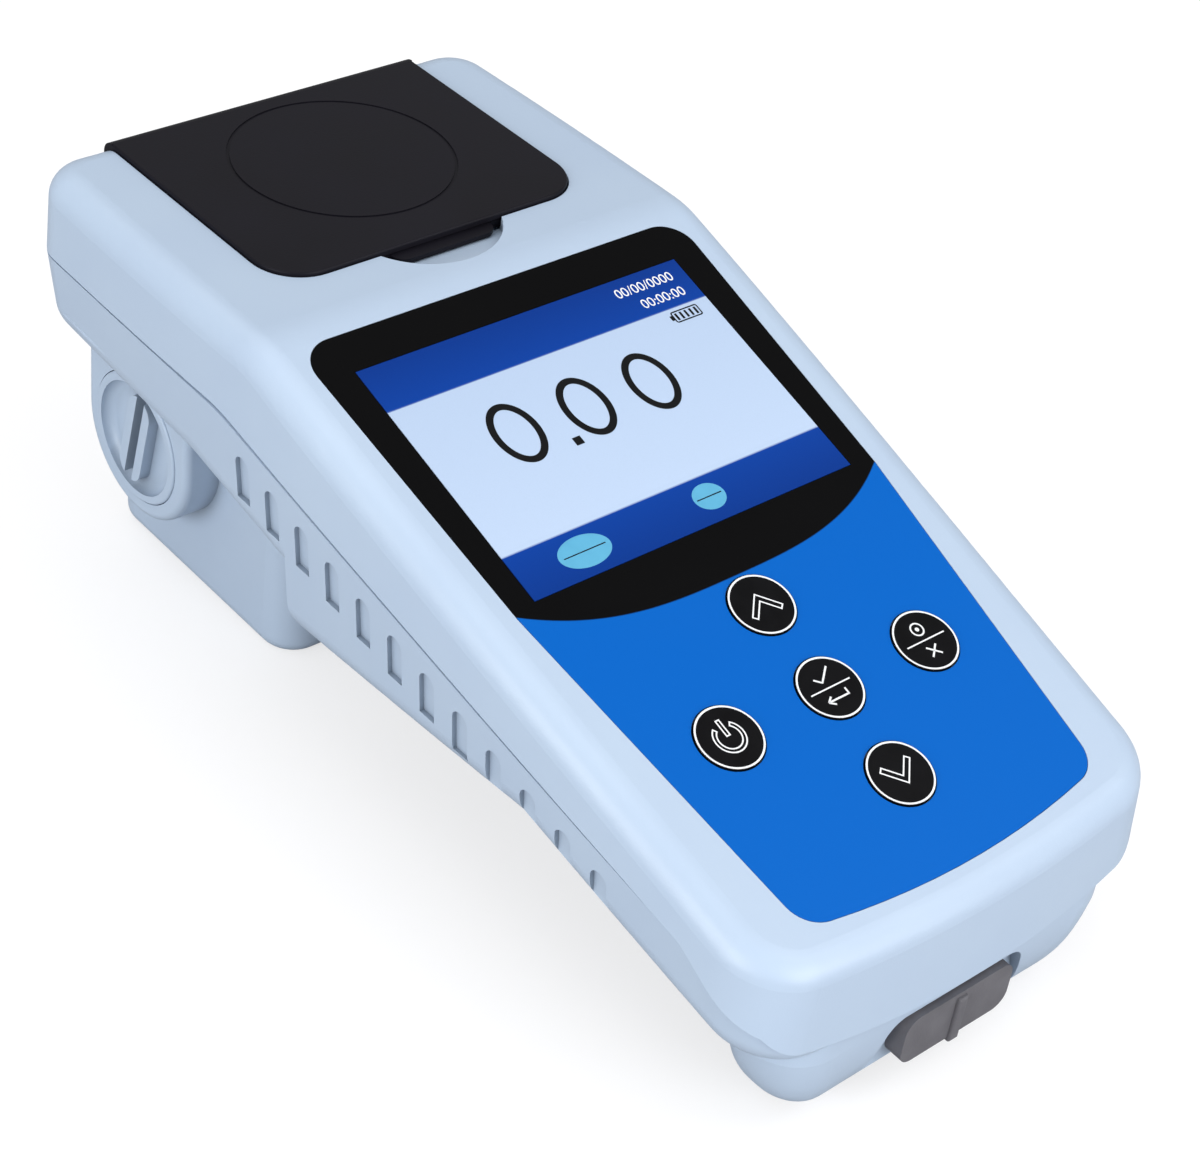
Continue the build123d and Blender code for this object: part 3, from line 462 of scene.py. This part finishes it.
# the battery sign, its pole to the left
batterySign = {"x": 29.0, "s": 23.0, "wide": 6.2, "tall": 2.6, "corner": 0.5, "stroke": 0.28,
               "bars": 5, "barWidth": 0.5, "endGap": 0.9, "sideGap": 0.5, "pole": 0.55}
bm = bmesh.new()
halfWide, halfTall = batterySign["wide"] / 2, batterySign["tall"] / 2
shell = addBar(bm, (-halfWide, 0), (halfWide, 0), batterySign["tall"])
hollow(bm, roundCorners(bm, shell, batterySign["corner"]), batterySign["stroke"])
barSpan = batterySign["wide"] - 2 * batterySign["endGap"]
barTop = halfTall - batterySign["sideGap"]
for i in range(batterySign["bars"]):
    barX = -halfWide + batterySign["endGap"] + i * barSpan / (batterySign["bars"] - 1)
    addBar(bm, (barX, -barTop), (barX, barTop), batterySign["barWidth"])
addBar(bm, (-halfWide - batterySign["pole"], 0), (-halfWide, 0), 2 * batterySign["pole"])
finishPrint(bm, "batterySign", batterySign["x"], batterySign["s"], displayLift, darkCells, "casing")

# two soft buttons in the lower band: x, s, half width and half height
softButtons = {"leftButton": (-21.2, 58.1, 5.3, 3.1), "rightButton": (6.2, 57.8, 3.3, 2.7)}
buttonLine = {"share": 0.82, "width": 0.22}
for name, (x, s, wide, tall) in softButtons.items():
    bm = bmesh.new()
    addDisc(bm, 0, 0, wide, tall)
    finishPrint(bm, name, x, s, displayLift, paleCells, "casing")
    bm = bmesh.new()
    reach = wide * buttonLine["share"]
    addBar(bm, (-reach, 0), (reach, 0), buttonLine["width"])
    finishPrint(bm, name + "Line", x, s, displayLift * 2, darkCells, "casing")

# plain figures where the display shows a date and a time: words, right end and s of their foot
clock = {"rows": (("00/00/0000", 32.2, 15.5), ("00:00:00", 32.2, 19.2)), "height": 2.9}
for i, (words, right, s) in enumerate(clock["rows"]):
    curve = bpy.data.curves.new("clockText", "FONT")
    curve.body = words
    curve.size = clock["height"]
    curve.align_x = "RIGHT"
    text = bpy.data.objects.new("clockText", curve)
    bpy.context.scene.collection.objects.link(text)
    bpy.context.view_layer.update()
    mesh = bpy.data.meshes.new_from_object(text.evaluated_get(bpy.context.evaluated_depsgraph_get()))
    bpy.data.objects.remove(text)
    bm = bmesh.new()
    bm.from_mesh(mesh)
    finishPrint(bm, f"clockRow{i + 1}", right, s, displayLift, whiteInk, "casing")

# rings and signs on the keys
keyPrint = {"lift": 0.312, "ring": 5.93, "ringStroke": 0.34, "stroke": 0.26, "thick": 0.34, "line": 4.3}


def drawChevron(bm, turn):
    points = [(-3.5, -1.5), (0, 2.3), (3.5, -1.5), (2.6, -2.35), (0, 0.45), (-2.6, -2.35)]
    face = bm.faces.new([bm.verts.new((x * turn, up * turn, 0)) for x, up in points])
    hollow(bm, [face], keyPrint["stroke"])


def drawUp(bm):
    drawChevron(bm, 1)


def drawDown(bm):
    drawChevron(bm, -1)


def drawPower(bm):
    bow = {"inner": 2.05, "outer": 3.0, "open": math.radians(70)}
    stem = {"foot": 0.2, "top": 3.5, "width": 0.95}
    ends = [bm.verts.new((bow["inner"], 0, 0)), bm.verts.new((bow["outer"], 0, 0))]
    first = bm.edges.new(ends)
    startTurn = Matrix.Rotation(math.pi / 2 + bow["open"] / 2, 3, "Z")
    bmesh.ops.rotate(bm, cent=(0, 0, 0), matrix=startTurn, verts=ends)
    bmesh.ops.spin(bm, geom=[*ends, first], cent=(0, 0, 0), axis=(0, 0, 1), steps=48,
                   angle=2 * math.pi - bow["open"], use_merge=False)
    hollow(bm, bm.faces[:], keyPrint["stroke"])
    hollow(bm, addBar(bm, (0, stem["foot"]), (0, stem["top"]), stem["width"]), keyPrint["stroke"])


def drawLines(bm, lines):
    addBar(bm, (-keyPrint["line"], 0), (keyPrint["line"], 0), keyPrint["stroke"])
    for start, end in lines:
        addBar(bm, start, end, keyPrint["thick"])


def drawEnter(bm):
    tick = [((-1.9, 2.3), (-0.7, 1.2)), ((-0.8, 1.2), (2.0, 3.6))]
    arrow = [((-2.2, -2.3), (2.2, -2.3)), ((2.2, -2.45), (2.2, -1.1)),
             ((-2.3, -2.3), (-1.2, -1.5)), ((-2.3, -2.3), (-1.2, -3.1))]
    drawLines(bm, tick + arrow)


def drawEscape(bm):
    target = {"up": 2.3, "ring": 1.35, "stroke": 0.3, "dot": 0.4}
    drawLines(bm, [((-1.1, -3.3), (1.1, -1.3)), ((-1.1, -1.3), (1.1, -3.3))])
    hollow(bm, addDisc(bm, 0, target["up"], target["ring"], target["ring"], 40), target["stroke"])
    addDisc(bm, 0, target["up"], target["dot"], target["dot"], 24)


signs = {"power": drawPower, "up": drawUp, "enter": drawEnter, "down": drawDown, "escape": drawEscape}
for name, (nodeName, body, x, s) in keys.items():
    bm = bmesh.new()
    hollow(bm, addDisc(bm, 0, 0, keyPrint["ring"], keyPrint["ring"], 96), keyPrint["ringStroke"])
    finishPrint(bm, name + "KeyRing", x, s, keyPrint["lift"], whiteInk, body)
    bm = bmesh.new()
    signs[name](bm)
    finishPrint(bm, name + "KeySign", x, s, keyPrint["lift"], whiteInk, body)

print("stage")

# The floor is matt and pale. The camera sees it lifted to white, and it fades into the world far out.
floorLook = {"radius": 1.6, "segments": 128, "tone": 0.36, "blue": 1.02, "lift": 0.66,
             "fadeFrom": 0.55, "fadeTo": 1.3}
bm = bmesh.new()
bmesh.ops.create_circle(bm, cap_ends=True, segments=floorLook["segments"], radius=floorLook["radius"])
mesh = bpy.data.meshes.new("floor")
bm.to_mesh(mesh)
bm.free()
floor = bpy.data.objects.new("floor", mesh)
bpy.context.scene.collection.objects.link(floor)
material, tree, coords = startMaterial("paleFloor")
reach = addNode(tree, "ShaderNodeVectorMath", {"operation": "LENGTH"}, i0=coords).outputs["Value"]
fade = span(tree, reach, floorLook["fadeFrom"], floorLook["fadeTo"])
path = addNode(tree, "ShaderNodeLightPath")
tone = floorLook["tone"]
matt = addNode(tree, "ShaderNodeBsdfDiffuse", Color=(tone, tone, tone * floorLook["blue"], 1.0))
glow = calc(tree, "MULTIPLY", path.outputs["Is Camera Ray"], floorLook["lift"])
lit = addNode(tree, "ShaderNodeEmission", Color=(1, 1, 1, 1), Strength=glow)
both = addNode(tree, "ShaderNodeAddShader", i0=matt.outputs[0], i1=lit.outputs[0])
clear = addNode(tree, "ShaderNodeBsdfTransparent")
mixed = addNode(tree, "ShaderNodeMixShader", i0=fade, i1=both.outputs[0], i2=clear.outputs[0])
closeMaterial(tree, mixed.outputs[0])
mesh.materials.append(material)

lights = {  # place in metres, side of the square in metres, power in watts
    "topBox": ((-0.15, 0.25, 0.95), 0.9, 3.4),
    "rightBox": ((0.45, -0.45, 0.75), 0.6, 2.6),
    "frontBox": ((0.15, -0.95, 0.22), 0.7, 7.0),
    "leftBox": ((-0.85, -0.15, 0.22), 0.7, 7.0),
}
aim = Vector((0, 0, 0.04))
for name, (place, side, power) in lights.items():
    lamp = bpy.data.lights.new(name, "AREA")
    lamp.shape = "SQUARE"
    lamp.size = side
    lamp.energy = power
    holder = bpy.data.objects.new(name, lamp)
    holder.location = place
    holder.rotation_euler = (aim - Vector(place)).to_track_quat("-Z", "Y").to_euler()
    bpy.context.scene.collection.objects.link(holder)

# a soft white room, greyer in reflections and white behind the object
worldLook = {"light": 0.5, "mirror": 0.45, "behind": 1.0}
world = bpy.data.worlds.new("studio")
world.use_nodes = True
tree = world.node_tree
tree.nodes.clear()
path = addNode(tree, "ShaderNodeLightPath")
room, mirror, behind = [
    addNode(tree, "ShaderNodeBackground", Color=(1, 1, 1, 1), Strength=strength).outputs[0]
    for strength in worldLook.values()
]
mirrored = addNode(tree, "ShaderNodeMixShader", i0=path.outputs["Is Glossy Ray"], i1=room, i2=mirror)
direct = calc(tree, "MAXIMUM", path.outputs["Is Camera Ray"], path.outputs["Is Transmission Ray"])
final = addNode(tree, "ShaderNodeMixShader", i0=direct, i1=mirrored.outputs[0], i2=behind)
addNode(tree, "ShaderNodeOutputWorld", Surface=final.outputs[0])
bpy.context.scene.world = world

view = {  # fitted to the photograph
    "eye": Vector((-264.62, -268.95, 326.68)) * mm, "lens": 81.10, "film": 36.0, "near": 0.01,
    "right": Vector((0.7592, -0.64107, 0.11248)), "up": Vector((0.33116, 0.52925, 0.78117)),
    "back": Vector((-0.56031, -0.55582, 0.6141)),
}
lensData = bpy.data.cameras.new("camera")
lensData.lens = view["lens"]
lensData.sensor_fit = "HORIZONTAL"
lensData.sensor_width = view["film"]
lensData.clip_start = view["near"]
camera = bpy.data.objects.new("camera", lensData)
turn = Matrix((view["right"], view["up"], view["back"])).transposed()
camera.matrix_world = Matrix.Translation(view["eye"]) @ turn.to_4x4()
bpy.context.scene.collection.objects.link(camera)
bpy.context.scene.camera = camera

bpy.context.scene.view_settings.view_transform = "Standard"

print("done")
